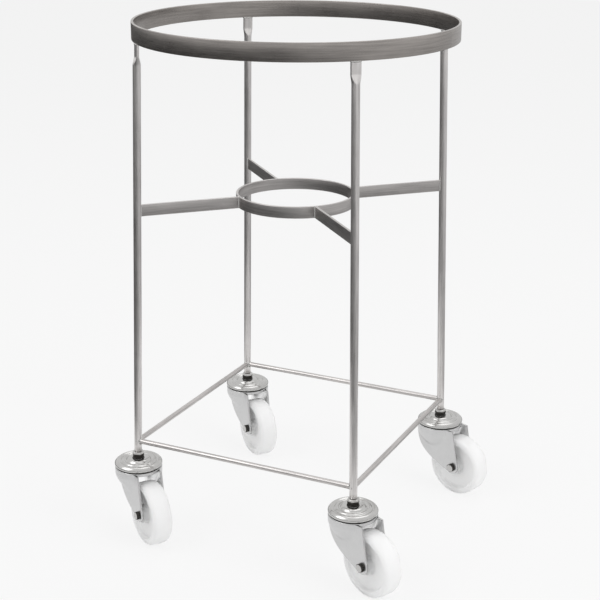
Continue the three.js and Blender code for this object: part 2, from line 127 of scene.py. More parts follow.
class FrameSizes(bpy.types.PropertyGroup):
    """Sizes of the welded frame that its box alone doesn't give."""

    bar: metres("Bar", "Thickness of the flat bars", 0.003)
    bar_edge: metres("Bar edge", "Rounding of a bar's edges", 0.0006)
    leg: metres("Leg", "Diameter of a leg", 0.0095)
    spigot: metres("Spigot", "Diameter of a leg's foot", 0.008)
    pinch: metres("Pinch", "Thickness of a leg's flat top", 0.004)
    pinch_width: metres("Pinch width", "Width of a leg's flat top", 0.0122)
    pinch_length: metres("Pinch length", "Height of a leg's flat top", 0.013)
    flare: metres("Flare", "Run from the flat top to the round rod", 0.011)
    bead: metres("Bead", "Leg length of a weld bead", 0.0016)
    ripple: metres("Ripple", "Spacing of the ripples in a weld", 0.0011)


class CastorSizes(bpy.types.PropertyGroup):
    """Sizes of one castor."""

    sheet: metres("Fork sheet", "Thickness of the fork", 0.0025)
    sheet_edge: metres("Fork edge", "Rounding of the fork's cut edges", 0.0005)
    crown: metres("Crown", "Radius of the fork's round crown", 0.0295)
    lip: metres("Lip", "Depth of the lip round the crown", 0.004)
    shoulder: metres("Shoulder", "Drop from the crown to where the shoulder draws in", 0.008)
    blend: metres("Blend", "Softness where the shoulder runs into the cheek", 0.002)
    cheek_half: metres("Cheek half", "Half width over the cheeks", 0.017)
    cheek_rear: metres("Cheek rear", "Reach behind the swivel axis", 0.024)
    cheek_front: metres("Cheek front", "Reach before the swivel axis", 0.0345)
    front_drop: metres("Front drop", "Fall of the front corner below the crown", 0.0025)
    back: metres("Back", "Length of the upright back edge", 0.009)
    back_pull: metres("Back pull", "Height over the axle that the back edge heads for", 0.015)
    sweep_reach: metres("Sweep reach", "Reach behind the axis that the sweep comes from", 0.007)
    sweep_pull: metres("Sweep pull", "Height over the axle that the sweep comes from", 0.006)
    knee: metres("Knee", "Height over the axle where the shoulder ends", 0.018)
    tip: metres("Tip", "Radius of the round tip", 0.009)
    rivet: metres("Rivet", "Radius of the hole in the crown", 0.0073)
    wheel_width: metres("Wheel width", "Width of the tread", 0.026)
    hub_half: metres("Hub half", "Half length of the hub", 0.0142)
    hub: metres("Hub", "Radius of the hub boss", 0.011)
    web_half: metres("Web half", "Half thickness of the web", 0.0065)
    rim_depth: metres("Rim depth", "Depth of the rim under the tread", 0.0085)
    bore: metres("Bore", "Radius of the wheel's bore", 0.0053)
    axle_hex: metres("Axle hex", "Axle bolt across flats", 0.010)
    axle_head: metres("Axle head", "Height of the axle bolt's head", 0.004)
    axle_nut: metres("Axle nut", "Height of the axle nut", 0.005)
    axle: metres("Axle", "Diameter of the axle bolt", 0.006)
    nut_hex: metres("Nut hex", "Lock nut across flats", 0.013)
    spigot_hole: metres("Spigot hole", "Radius of the hole round the spigot", 0.0043)
    washer: metres("Washer", "Radius of the washer", 0.007)


class Finishes(bpy.types.PropertyGroup):
    """Colours of the finishes."""

    brushed_steel: colour_setting("Brushed steel", "Upper ring", (0.36, 0.336, 0.319))
    bar_steel: colour_setting("Bar steel", "Lower ring, spokes and rails", (0.52, 0.50, 0.49))
    drawn_steel: colour_setting("Drawn steel", "Legs", (0.68, 0.66, 0.65))
    polished_steel: colour_setting("Polished steel", "Castor heads, nuts and welds", (0.54, 0.535, 0.525))
    satin_steel: colour_setting("Satin steel", "Forks and the pieces inside the castors", (0.62, 0.62, 0.62))
    # A brighter copy of the forks' satin: painted light on their inner faces
    bare_steel: colour_setting("Bare steel", "Inner faces of the forks", (0.92, 0.92, 0.92))
    # Dark washers; on nut and bolt flanks and on head edges this dark is painted shade and dark reflection
    dark_steel: colour_setting("Dark steel", "Washers, nut flanks and head edges", (0.035, 0.033, 0.030))
    white_nylon: colour_setting("White nylon", "Wheels", (0.93, 0.93, 0.925))


class StageLook(bpy.types.PropertyGroup):
    """Background, light and camera."""

    background: plain_setting("Background", "Brightness behind the object", 0.913)
    floor: plain_setting("Floor", "Brightness of the floor where no shadow falls", 0.965)
    card: plain_setting("Card", "Brightness of the card at the left", 0.09)
    card_rise: plain_setting("Card rise", "Rise of that brightness to the right", 0.53)
    card_bend: plain_setting("Card bend", "Power of that rise", 1.7)
    card_span: metres("Card span", "Distance over which the brightness rises", 1.5)
    room: plain_setting("Room", "Brightness of the room's light", 0.55)
    lens: FloatProperty(name="Lens", description="Focal length", default=82.36, unit="CAMERA")
    back: metres("Distance", "Camera's distance from the axis", 1.6466)
    height: metres("Height", "Camera's height", 0.8476)
    azimuth: angle_setting("Azimuth", "Way round the stand", radians(25.8))
    yaw: angle_setting("Yaw", "Turn away from the axis", 0.0036)
    pitch: angle_setting("Pitch", "Look down", 0.32735)
    roll: angle_setting("Roll", "Lean of the camera", 0.0045)


# Surfaces

# Points round each kind of piece
TOP_RING_SEGMENTS = 256
LOWER_RING_SEGMENTS = 160
HEAD_SEGMENTS = 96
HEX_SEGMENTS = 96
WASHER_SEGMENTS = 48
WHEEL_SEGMENTS = 128
ROD_SIDES = 32
LEG_SIDES = 40
COLLAR_SIDES = 40
BEAD_SIDES = 14

# Stations along each kind of piece
SPOKE_STATIONS = 24
RAIL_STATIONS = 40
STUD_STATIONS = 8
COLLAR_STATIONS = 10
LEG_STATIONS = (4, 40, 24, 8)

# Rounding of edges, and the angle past which an edge stays sharp
EDGE_STEPS = 5
CORNER_CUTS = 2
CREASE = radians(35)


def grid_faces(rows, columns, closed_rows):
    """Quads of a grid whose columns wrap, and whose rows may, and each corner's place in the grid."""
    i, j = np.meshgrid(np.arange(rows if closed_rows else rows - 1), np.arange(columns), indexing="ij")
    i = i.ravel()[:, None] + np.array([0, 1, 1, 0])
    j = j.ravel()[:, None] + np.array([0, 0, 1, 1])
    return (i % rows) * columns + j % columns, np.stack([i, j], -1)


def enclosed(points, faces, loops):
    """Volume inside a closed surface, negative where its faces point inwards: the sum of the cones that the
    quads and the end loops make with the middle of the points."""
    points = points - points.mean(0)
    first, second, third, fourth = (points[faces[:, corner]] for corner in range(4))
    volume = np.sum(np.cross(first, second) * third) + np.sum(np.cross(first, third) * fourth)
    for loop in loops:
        rim = points[loop]
        volume += np.sum(np.cross(rim, np.roll(rim, -1, 0)) @ rim.mean(0))
    return volume / 6


class Skin:
    """Gathers closed grids of points into one mesh object with a UV map in metres, faces outwards."""

    def __init__(self, name):
        self.name = name
        self.points = []
        self.quads = []
        self.places = []
        self.caps = []
        self.paints = []
        self.count = 0

    def grid(self, points, closed_rows=False, paint=None):
        """Adds a grid: rows are stations along a path and columns go round a profile.
        Rows that don't close on themselves get a cap at each end.
        The UV map runs along the path in u and round the profile in v, in metres.
        Paint gives the number of each column's finish."""
        rows, columns = points.shape[:2]
        faces, corner = grid_faces(rows, columns, closed_rows)
        along = np.linalg.norm(np.roll(points, -1, 0) - points, axis=2).mean(1)
        across = np.linalg.norm(np.roll(points, -1, 1) - points, axis=2).mean(0)
        u = np.concatenate([[0], np.cumsum(along)])
        v = np.concatenate([[0], np.cumsum(across)])
        place = np.stack([u[corner[..., 0]], v[corner[..., 1]]], -1)
        rim = np.arange(columns)
        loops = [] if closed_rows else [rim, rim[::-1] + (rows - 1) * columns]
        if enclosed(points.reshape(-1, 3), faces, loops) < 0:
            faces, place, loops = faces[:, ::-1], place[:, ::-1], [loop[::-1] for loop in loops]
        self.places.append(place)
        self.quads.append(faces + self.count)
        self.paints.append(np.zeros(len(faces), int) if paint is None else paint[corner[:, 0, 1]])
        self.caps += [loop + self.count for loop in loops]
        self.points.append(points.reshape(-1, 3))
        self.count += rows * columns
        return self

    def build(self, finishes, body, slot, replaced=()):
        """Makes the object, smooth but for edges sharper than the crease angle, and rides it on its body."""
        points = np.concatenate(self.points)
        quads = np.concatenate(self.quads)
        faces = quads.tolist() + [cap.tolist() for cap in self.caps]
        mesh = bpy.data.meshes.new(self.name)
        mesh.from_pydata(points.tolist(), [], faces)
        uv = mesh.uv_layers.new(name="UVMap")
        flat = np.zeros((len(mesh.loops), 2), np.float32)
        places = np.concatenate(self.places).reshape(-1, 2)
        flat[:len(places)] = places
        uv.data.foreach_set("uv", flat.ravel())
        mesh.polygons.foreach_set("use_smooth", np.ones(len(mesh.polygons), bool))
        mesh.set_sharp_from_angle(angle=CREASE)
        paint = np.zeros(len(mesh.polygons), np.int32)
        paint[:len(quads)] = np.concatenate(self.paints)
        mesh.polygons.foreach_set("material_index", paint)
        for finish in finishes:
            mesh.materials.append(material_of(finish))
        mesh.update()
        piece = bpy.data.objects.new(self.name, mesh)
        bpy.context.scene.collection.objects.link(piece)
        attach(piece, body)
        if replaced:
            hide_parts(*replaced)


def smooth_step(value):
    """0 below 0, 1 above 1 and a soft S between."""
    share = np.clip(value, 0, 1)
    return share * share * (3 - 2 * share)


def soft_greater(first, second, blend):
    """The greater of two values, with a round blend where they are close."""
    return 0.5 * (first + second + np.sqrt((first - second) ** 2 + blend ** 2))


def signed_power(value, power):
    """A power of each value's size, with the value's own sign."""
    return np.sign(value) * np.abs(value) ** power


def round_angles(count):
    """Angles spaced evenly over one turn."""
    return np.arange(count) * TURN / count


def rounded_bar(width, height, edge):
    """Closed outline of a bar: four quarter circles of the edge radius, joined by straight sides."""
    angle = np.linspace(0, pi / 2, EDGE_STEPS)[None, :] + np.arange(4)[:, None] * pi / 2
    sign_x = np.array([1, -1, -1, 1])[:, None]
    sign_y = np.array([1, 1, -1, -1])[:, None]
    x = sign_x * (width / 2 - edge) + edge * np.cos(angle)
    y = sign_y * (height / 2 - edge) + edge * np.sin(angle)
    return np.stack([x.ravel(), y.ravel()], -1)


def rounded_loop(points):
    """Cuts the corners of a closed outline again and again, at a quarter and three quarters of each side."""
    points = np.array(points, float)
    for _ in range(CORNER_CUTS):
        after = np.roll(points, -1, 0)
        points = np.stack([0.75 * points + 0.25 * after, 0.25 * points + 0.75 * after], 1).reshape(-1, 2)
    return points


def points_of(x, y, z):
    """Points from arrays of their coordinates, which are spread to one shape."""
    return np.stack(np.broadcast_arrays(x, y, z), -1)


def spun(reach, level):
    """Rows of points spaced evenly round +Z, each row with a reach for every level."""
    angle = round_angles(len(reach))[:, None]
    return points_of(reach * np.cos(angle), reach * np.sin(angle), level)


def turned(profile, segments):
    """A closed profile of radius and level, carried once round +Z: rows go round, columns follow it."""
    return spun(np.tile(profile[:, 0], (segments, 1)), profile[:, 1])


def along_axle(points):
    """Turns what was made about +Z to lie about +Y."""
    return points_of(points[..., 0], points[..., 2], -points[..., 1])


def heading_of(way):
    """The angle about +Z from +X to a way."""
    return float(np.arctan2(way[1], way[0]))


def placed(points, origin, heading=0.0):
    """Turns points about +Z by the heading and moves them to the origin given."""
    c, s = cos(heading), sin(heading)
    x = c * points[..., 0] - s * points[..., 1]
    y = s * points[..., 0] + c * points[..., 1]
    return points_of(x, y, points[..., 2]) + np.asarray(origin)


def rod(start, end, radii, sides=ROD_SIDES):
    """Circles of the given radii spaced evenly from start to end."""
    start, end = np.asarray(start, float), np.asarray(end, float)
    axis = (end - start) / np.linalg.norm(end - start)
    nearly_upright = abs(axis[2]) >= 0.9
    side = np.cross(axis, [1, 0, 0] if nearly_upright else [0, 0, 1])
    side /= np.linalg.norm(side)
    other = np.cross(axis, side)
    angle = round_angles(sides)
    circle = np.cos(angle)[:, None] * side + np.sin(angle)[:, None] * other
    share = np.linspace(0, 1, len(radii))[:, None]
    centres = start + share * (end - start)
    return centres[:, None, :] + np.asarray(radii)[:, None, None] * circle


# A weld bead: stations to a ripple, fewest stations, height of the ripples, and how its ends close
BEAD_STATIONS = 6
BEAD_LEAST_STATIONS = 24
BEAD_WAVE = 0.10
BEAD_END_POWER = 6
BEAD_END_SIZE = 0.02


def weld_line(start, end, bead, ripple):
    """A weld bead: a thin rod whose radius ripples along its run and closes at both ends."""
    length = float(np.linalg.norm(np.asarray(end) - np.asarray(start)))
    count = max(BEAD_LEAST_STATIONS, int(BEAD_STATIONS * length / ripple))
    share = np.linspace(-1, 1, count)
    close = np.sqrt(np.clip(1 - np.abs(share) ** BEAD_END_POWER, BEAD_END_SIZE, 1))
    wave = 1 + BEAD_WAVE * np.sin(TURN * share * length / 2 / ripple)
    return rod(start, end, bead * close * wave, BEAD_SIDES)


# A hexagon, as shares of its width across flats: radius of the flat ends, depth of the chamfer, and radius
# at which a closed end stops. The chamfer's slope and steps, and the share of a nut's height that is painted
# dark as shade and dark reflection
HEX_END = 0.475
HEX_CHAMFER = 0.12
HEX_CENTRE = 0.005
HEX_SLOPE = 1.73
HEX_STEPS = 5
HEX_SHADED_SHARE = 0.55

# Finish of each column of a hexagon: bright ends, flanks painted dark as painted shade and dark reflection,
# and on a nut a bright upper part
NUT_SHADE_PAINT = np.repeat([0, 1, 0], [1, HEX_STEPS, HEX_STEPS + 2])
BOLT_SHADE_PAINT = np.repeat([0, 1, 0], [1, 2 * HEX_STEPS, 2])


def hex_reach(angle, across_flats):
    """Distance from the axis to a hexagon's side at an angle."""
    return across_flats / 2 / np.cos((angle + pi / 6) % (pi / 3) - pi / 6)


def hexagon_solid(across_flats, height, bore=None):
    """A hexagon along +Z, both ends turned to a cone so that the corners are chamfered.
    At each level the reach is the lesser of the hexagon's and the cone's."""
    angle = round_angles(HEX_SEGMENTS)
    rise = np.linspace(0, HEX_CHAMFER * across_flats, HEX_STEPS)
    level = np.concatenate([[0], rise, [HEX_SHADED_SHARE * height], height - rise[::-1], [height]])
    cone = HEX_END * across_flats + np.concatenate([rise, [height], rise[::-1]]) * HEX_SLOPE
    reach = np.minimum(hex_reach(angle, across_flats)[:, None], cone[None, :])
    ends = np.full((HEX_SEGMENTS, 1), bore if bore else HEX_CENTRE * across_flats)
    return spun(np.concatenate([ends, reach, ends], 1), level)


# Shader expressions

class Tree:
    """Adds nodes to one material or world."""

    def __init__(self, owner):
        owner.use_nodes = True
        self.tree = owner.node_tree
        self.tree.nodes.clear()

    def feed(self, socket, value):
        """Links an expression to a socket, or sets the socket to a constant."""
        if isinstance(value, Term):
            self.tree.links.new(value.socket, socket)
        else:
            socket.default_value = value

    def node(self, kind, settings=None, **values):
        """One node: its settings first, then its sockets, each a constant or an expression."""
        node = self.tree.nodes.new(kind)
        for key, value in (settings or {}).items():
            setattr(node, key, value)
        for key, value in values.items():
            self.feed(node.inputs[key.replace("_", " ")], value)
        return node

    def term(self, kind, output, **values):
        """One node's output as an expression."""
        return Term(self, self.node(kind, **values).outputs[output])

    def math(self, operation, *values):
        """One step of arithmetic."""
        node = self.node("ShaderNodeMath", {"operation": operation})
        for socket, value in zip(node.inputs, values):
            self.feed(socket, value)
        return Term(self, node.outputs[0])

    def mix(self, factor, first, second):
        """A colour between two others. A Mix node's sockets share their names, so they go by number."""
        node = self.node("ShaderNodeMix", {"data_type": "RGBA"})
        for index, value in ((0, factor), (6, first), (7, second)):
            self.feed(node.inputs[index], value)
        return Term(self, node.outputs[2])

    def surface(self, shader, kind="ShaderNodeOutputMaterial"):
        """Wires a shader to the output."""
        output = self.node(kind)
        self.tree.links.new(shader.outputs[0], output.inputs["Surface"])


def math_step(operation):
    """An operator that adds one step of arithmetic, as in mask - 1."""
    return lambda term, other: term.tree.math(operation, term, other)


def reflected_step(operation):
    """The same step with the socket second, as in 1 - mask."""
    return lambda term, other: term.tree.math(operation, other, term)


class Term:
    """A socket that takes part in arithmetic: each operator adds a Math node."""

    __add__ = math_step("ADD")
    __radd__ = reflected_step("ADD")
    __sub__ = math_step("SUBTRACT")
    __rsub__ = reflected_step("SUBTRACT")
    __mul__ = math_step("MULTIPLY")
    __rmul__ = reflected_step("MULTIPLY")
    __pow__ = math_step("POWER")
    __rpow__ = reflected_step("POWER")

    def __init__(self, tree, socket):
        self.tree = tree
        self.socket = socket

    def clamp(self):
        """The value kept between 0 and 1."""
        return self.tree.math("MAXIMUM", self.tree.math("MINIMUM", self, 1.0), 0.0)


# Finishes

NOISE_ROUGHNESS = 0.55


def shade(colour, factor):
    """A colour made lighter or darker, with its alpha."""
    return (*[min(1.0, channel * factor) for channel in colour], 1.0)


def shades(tree, factor, colour, darkest, lightest):
    """A colour that varies between a darker and a lighter shade of itself."""
    return tree.mix(factor, shade(colour, darkest), shade(colour, lightest))


def noise(tree, vector, scale=1.0, detail=3.0):
    """Cloudy noise over a vector."""
    return tree.term("ShaderNodeTexNoise", "Fac", Vector=vector, Scale=scale, Detail=detail,
                     Roughness=NOISE_ROUGHNESS)


def stretched(tree, vector, scale):
    """A vector stretched along each of its axes."""
    return tree.term("ShaderNodeMapping", "Vector", Vector=vector, Scale=scale)


def finish_surface(tree, colour, roughness, metallic=1.0, height=None, depth=0.0, **constants):
    """Principled surface with an optional bump, wired to the output."""
    if height is not None:
        constants["Normal"] = tree.term("ShaderNodeBump", "Normal", Strength=1.0, Distance=depth,
                                        Height=height)
    tree.surface(tree.node("ShaderNodeBsdfPrincipled", Base_Color=colour, Roughness=roughness,
                           Metallic=metallic, **constants))


def lined_steel(tree, colour, smooth, depth):
    """Steel with fine lines along the piece, wider streaks, cloudy patches and a soft sheen."""
    run = tree.term("ShaderNodeTexCoord", "UV")
    fine_lines = noise(tree, stretched(tree, run, (18.0, 5200.0, 1.0)), detail=2.0)
    streaks = noise(tree, stretched(tree, run, (16.0, 480.0, 1.0)))
    clouds = noise(tree, stretched(tree, run, (11.0, 26.0, 1.0)))
    tone = (0.5 * fine_lines + 1.5 * streaks + 1.2 * clouds - 1.1).clamp()
    tint = shades(tree, tone, colour, darkest=0.72, lightest=1.28)
    finish_surface(tree, tint, smooth + 0.12 * fine_lines + 0.12 * clouds, height=fine_lines, depth=depth)


def brushed_steel(tree, colour):
    """The upper ring: dull brushed bar."""
    lined_steel(tree, colour, smooth=0.16, depth=0.000005)


def bar_steel(tree, colour):
    """The lower ring, the spokes and the rails: a little brighter."""
    lined_steel(tree, colour, smooth=0.18, depth=0.00002)


def drawn_steel(tree, colour):
    """Legs: bright drawn rod."""
    lined_steel(tree, colour, smooth=0.18, depth=0.00002)


def polished_steel(tree, colour):
    """Castor heads, nuts and welds: bright, with faint handling haze."""
    place = tree.term("ShaderNodeTexCoord", "Object")
    haze = noise(tree, place, scale=90.0, detail=4.0)
    spots = noise(tree, place, scale=420.0, detail=2.0)
    tint = shades(tree, haze, colour, darkest=0.88, lightest=1.08)
    finish_surface(tree, tint, 0.15 + 0.10 * haze + 0.03 * spots)


def sheet_steel(tree, colour):
    """An even satin with the grain of rolled sheet."""
    place = tree.term("ShaderNodeTexCoord", "Object")
    grain = noise(tree, stretched(tree, place, (1.0, 1.0, 0.12)), scale=1500.0, detail=2.0)
    clouds = noise(tree, place, scale=45.0)
    tint = shades(tree, (0.5 * grain + 0.5 * clouds).clamp(), colour, darkest=0.86, lightest=1.12)
    finish_surface(tree, tint, 0.24 + 0.12 * clouds + 0.06 * grain, height=grain, depth=0.00001)


def satin_steel(tree, colour):
    """Pressed forks and the pieces inside the castors."""
    sheet_steel(tree, colour)


def bare_steel(tree, colour):
    """Inner faces of the forks: the same satin made brighter, as painted light reflected inside the fork."""
    sheet_steel(tree, colour)


def dark_steel(tree, colour):
    """Dark washers, and painted shade and dark reflection on nut and bolt flanks and on the heads' lower
    edges: dull, a little worn.
    """
    wear = noise(tree, tree.term("ShaderNodeTexCoord", "Object"), scale=700.0)
    tint = shades(tree, wear, colour, darkest=0.7, lightest=1.8)
    finish_surface(tree, tint, 0.38 + 0.2 * wear, metallic=0.8, height=wear, depth=0.00003)


def white_nylon(tree, colour):
    """Moulded wheels: milky white, faintly mottled, with a soft gloss."""
    place = tree.term("ShaderNodeTexCoord", "Object")
    mottle = noise(tree, place, scale=60.0)
    skin = noise(tree, place, scale=1800.0, detail=2.0)
    tint = shades(tree, mottle, colour, darkest=0.965, lightest=1.03)
    finish_surface(tree, tint, 0.36 + 0.14 * mottle, metallic=0.0, height=skin, depth=0.00001,
                   Subsurface_Weight=1.0, Subsurface_Scale=0.030, Subsurface_Radius=(1, 1, 1))


MAKERS = {maker.__name__: maker for maker in (brushed_steel, bar_steel, drawn_steel, polished_steel,
                                              satin_steel, bare_steel, dark_steel, white_nylon)}


def material_of(name):
    """A finish by name, made the first time it is asked for."""
    title = name + "_finish"
    if title not in bpy.data.materials:
        tree = Tree(bpy.data.materials.new(title))
        MAKERS[name](tree, getattr(bpy.context.scene.stand_finishes, name))
    return bpy.data.materials[title]


# Places on the frame

def leg_direction(corner):
    """Unit vector from the stand's axis towards a leg."""
    place = joint_place(f"swivel_{corner}")[:2]
    return place / np.linalg.norm(place)


def leg_reach(level, sizes):
    """Distance of a leg's axis from the stand's axis: a straight line from under the ring to the foot."""
    top = RING_RADIUS - sizes.bar / 2
    share = (LEG_TOP - level) / (LEG_TOP - LEG_FOOT)
    return top + (FOOT_REACH - top) * share


def leg_point(corner, level, sizes):
    """A point on a leg's axis."""
    return np.array([*(leg_direction(corner) * leg_reach(level, sizes)), level])


def swivel_axis(corner):
    """The floor point under a castor's swivel."""
    return joint_place(f"swivel_{corner}") * np.array([1, 1, 0])


def castor_heading(corner):
    """The way a castor's fork trails, as an angle about +Z."""
    return heading_of(joint_place(f"roll_{corner}") - joint_place(f"swivel_{corner}"))


# Pieces

class STAND_OT_rings(bpy.types.Operator):
    """Build the top ring and the lower ring: a rounded bar outline carried round a circle"""

    bl_idname = "stand.rings"
    bl_label = "Rings"

    def execute(self, context):
        sizes = context.scene.stand_sizes
        rings = (("top_ring", RING_RADIUS, RING_BASE, RING_TOP, TOP_RING_SEGMENTS, "brushed_steel"),
                 ("lower_ring", LOWER_RADIUS, LOWER_BASE, LOWER_TOP, LOWER_RING_SEGMENTS, "bar_steel"))
        for node, radius, base, top, segments, finish in rings:
            outline = rounded_bar(sizes.bar, top - base, sizes.bar_edge)
            outline = outline + np.array([radius - sizes.bar / 2, (base + top) / 2])
            skin = Skin(f"{node}_bar").grid(turned(outline, segments), closed_rows=True)
            skin.build([finish], "stand", "brushed_steel", [node])
        return {"FINISHED"}


# A leg: height and share of the rounding at its foot, start of its plain rod, margin beside its flare, and
# start and squareness of its flat top
FOOT_ROUND = 0.001
FOOT_DRAW = 0.18
ROD_START = 0.01
FLARE_MARGIN = 0.002
PINCH_START = 0.003
PINCH_SQUARENESS = 2.2


class STAND_OT_legs(bpy.types.Operator):
    """Build the four legs: level sections from a round rod to a flat pinched top, with a spigot below"""

    bl_idname = "stand.legs"
    bl_label = "Legs"

    def execute(self, context):
        sizes = context.scene.stand_sizes
        pinch_base = LEG_TOP - sizes.pinch_length
        flare_base = pinch_base - sizes.flare
        runs = (
            (LEG_FOOT, LEG_FOOT + FOOT_ROUND),
            (LEG_FOOT + ROD_START, flare_base - FLARE_MARGIN),
            (flare_base, pinch_base + FLARE_MARGIN),
            (pinch_base + PINCH_START, LEG_TOP),
        )
        level = np.concatenate([np.linspace(*run, count) for run, count in zip(runs, LEG_STATIONS)])[:, None]
        flat = smooth_step((level - flare_base) / (pinch_base - flare_base))
        ease = 1 - FOOT_DRAW * (1 - smooth_step((level - LEG_FOOT) / FOOT_ROUND))
        thick = (sizes.leg * (1 - flat) + sizes.pinch * flat) / 2 * ease
        wide = (sizes.leg * (1 - flat) + sizes.pinch_width * flat) / 2 * ease
        power = 2 / (2 + PINCH_SQUARENESS * flat)
        angle = round_angles(LEG_SIDES)
        radial = signed_power(np.cos(angle), power) * thick
        tangent = signed_power(np.sin(angle), power) * wide
        sections = points_of(leg_reach(level, sizes) + radial, tangent, level)
        for corner in CORNERS:
            points = placed(sections, CENTRE, heading_of(leg_direction(corner)))
            foot = leg_point(corner, LEG_FOOT, sizes)
            spigot_end = np.array([*foot[:2], SPIGOT_BASE])
            skin = Skin(f"leg_{corner}_rod").grid(points)
            skin.grid(rod(spigot_end, foot, np.full(STUD_STATIONS, sizes.spigot / 2)))
            skin.build(["drawn_steel"], "stand", "brushed_steel", [f"leg_{corner}"])
        return {"FINISHED"}


class STAND_OT_spokes(bpy.types.Operator):
    """Build the four spokes: a rounded bar outline carried straight from a leg to the lower ring"""

    bl_idname = "stand.spokes"
    bl_label = "Spokes"

    def execute(self, context):
        sizes = context.scene.stand_sizes
        middle = (LOWER_BASE + LOWER_TOP) / 2
        outline = rounded_bar(sizes.bar, LOWER_TOP - LOWER_BASE, sizes.bar_edge)
        inner = LOWER_RADIUS - sizes.bar_edge
        outer = leg_reach(middle, sizes) - sizes.leg / 2 + sizes.bar_edge
        reach = np.linspace(outer, inner, SPOKE_STATIONS)[:, None]
        sections = points_of(reach, outline[:, 0], middle + outline[:, 1])
        for corner in CORNERS:
            points = placed(sections, CENTRE, heading_of(leg_direction(corner)))
            skin = Skin(f"spoke_{corner}_bar").grid(points)
            skin.build(["bar_steel"], "stand", "brushed_steel", [f"spoke_{corner}"])
        return {"FINISHED"}


class STAND_OT_rails(bpy.types.Operator):
    """Build the four rails: plain round rods between neighbouring legs"""

    bl_idname = "stand.rails"
    bl_label = "Rails"

    def execute(self, context):
        sizes = context.scene.stand_sizes
        for side, (first, second) in RAIL_ENDS.items():
            start = leg_point(first, RAIL_LEVEL, sizes)
            end = leg_point(second, RAIL_LEVEL, sizes)
            step = (end - start) / np.linalg.norm(end - start)
            inset = step * (sizes.leg / 2 - sizes.bar_edge)
            points = rod(start + inset, end - inset, np.full(RAIL_STATIONS, RAIL_RADIUS))
            skin = Skin(f"rail_{side}_rod").grid(points)
            skin.build(["bar_steel"], "stand", "brushed_steel", [f"rail_{side}"])
        return {"FINISHED"}


# A rail's weld: height of its ripples, what it stands proud of the rail, and how far it sinks into the leg
COLLAR_WAVE = 0.05
COLLAR_PROUD = 0.00008
COLLAR_SINK = 0.0002


def rail_collar(leg, away, sizes):
    """Weld round a rail's end: rings about the rail from the leg's surface outwards, fuller at the leg.
    Each ring starts where the rod of the leg is met, so the first one follows a saddle."""
    angle = round_angles(COLLAR_SIDES)
    share = np.linspace(0, 1, COLLAR_STATIONS)[:, None]
    fillet = sizes.bead * (1 - np.sqrt(np.clip(1 - (1 - share) ** 2, 0, 1)))
    ripple = 1 + COLLAR_WAVE * np.sin(TURN * angle * RAIL_RADIUS / sizes.ripple)
    radius = RAIL_RADIUS + (fillet + COLLAR_PROUD) * ripple
    sideways = np.cos(angle) * radius
    upwards = np.sin(angle) * radius
    saddle = np.sqrt(np.clip((sizes.leg / 2) ** 2 - sideways ** 2, 0, None)) - COLLAR_SINK
    along = saddle + share * sizes.bead
    return placed(points_of(along, sideways, upwards), leg, heading_of(away))


# Beads as shares of the bead's size: their sink, and the radii of upright ones and of those under the ring
BEAD_SINK = 0.2
UPRIGHT_BEAD = 0.55
RING_BEAD = 0.6

# Where beads start, as shares of a leg's radius and of half its flat top
LEG_BITE = 0.97
PINCH_BITE = 0.8


class STAND_OT_welds(bpy.types.Operator):
    """Build the weld beads of the frame: rippled lines at the bars and collars at the rails"""

    bl_idname = "stand.welds"
    bl_label = "Welds"

    def execute(self, context):
        sizes = context.scene.stand_sizes
        skin = Skin("weld_beads")
        for corner in CORNERS:
            out = np.array([*leg_direction(corner), 0.0])
            across = np.array([-out[1], out[0], 0.0])
            for side in (-1, 1):
                self.spoke_beads(skin, out, across * side * sizes.bar / 2, sizes)
                seat = out * (leg_reach(LEG_TOP, sizes) + side * sizes.pinch / 2 * PINCH_BITE)
                seat = seat + np.array([0, 0, RING_BASE - BEAD_SINK * sizes.bead])
                reach = across * sizes.pinch_width / 2
                skin.grid(weld_line(seat - reach, seat + reach, RING_BEAD * sizes.bead, sizes.ripple))
        for first, second in RAIL_ENDS.values():
            start = leg_point(first, RAIL_LEVEL, sizes)
            end = leg_point(second, RAIL_LEVEL, sizes)
            skin.grid(rail_collar(start, end - start, sizes))
            skin.grid(rail_collar(end, start - end, sizes))
        skin.build(["polished_steel"], "stand", "polished_steel")
        return {"FINISHED"}

    @staticmethod
    def spoke_beads(skin, out, aside, sizes):
        """Upright beads on one side of a spoke, at the lower ring and along the leaning leg."""
        levels = (LOWER_BASE, LOWER_TOP)
        at_ring = [LOWER_RADIUS + BEAD_SINK * sizes.bead for _ in levels]
        at_leg = [leg_reach(level, sizes) - LEG_BITE * sizes.leg / 2 for level in levels]
        for reaches in (at_ring, at_leg):
            ends = [out * reach + aside + np.array([0, 0, level]) for reach, level in zip(reaches, levels)]
            skin.grid(weld_line(*ends, UPRIGHT_BEAD * sizes.bead, sizes.ripple))


# Points of a pressed head as radius and drop below the hub, in millimetres: the underside from the bore
# outwards, and the upper side from the rim over the outer groove, the ring and the inner groove to the hub
HEAD_UNDERSIDE = ((7.3, 2.0), (11.5, 2.2), (14.0, 5.2), (24.0, 5.4))
HEAD_UPPER_SIDE = ((28.9, 4.3), (27.2, 2.8), (25.2, 2.4), (23.8, 3.0), (22.8, 3.7), (21.8, 3.2), (20.6, 2.0),
                   (19.2, 1.7), (17.8, 2.3), (16.6, 3.3), (15.4, 3.1), (14.4, 1.9), (13.0, 0.6), (10.6, 0.1),
                   (7.3, 0.0))

# The head's rim and skirt: what the rim stands proud of the faceted solid, its drop below the hub, and the
# skirt's wall, inner depth, edge and tucked end. Height of the painted shadow under the skirt, and rounding
# of a washer
RIM_PROUD = 0.0002
RIM_DROP = 0.0058
SKIRT_WALL = 0.0024
SKIRT_DEPTH = 0.003
SKIRT_EDGE = 0.002
SKIRT_TUCK = 0.0005
GAP_SHADE_HEIGHT = 0.0009
WASHER_EDGE = 0.0004


def below_hub(points):
    """Radius and level of points given as radius and drop."""
    return [(radius * MM, HEAD_TOP - drop * MM) for radius, drop in points]


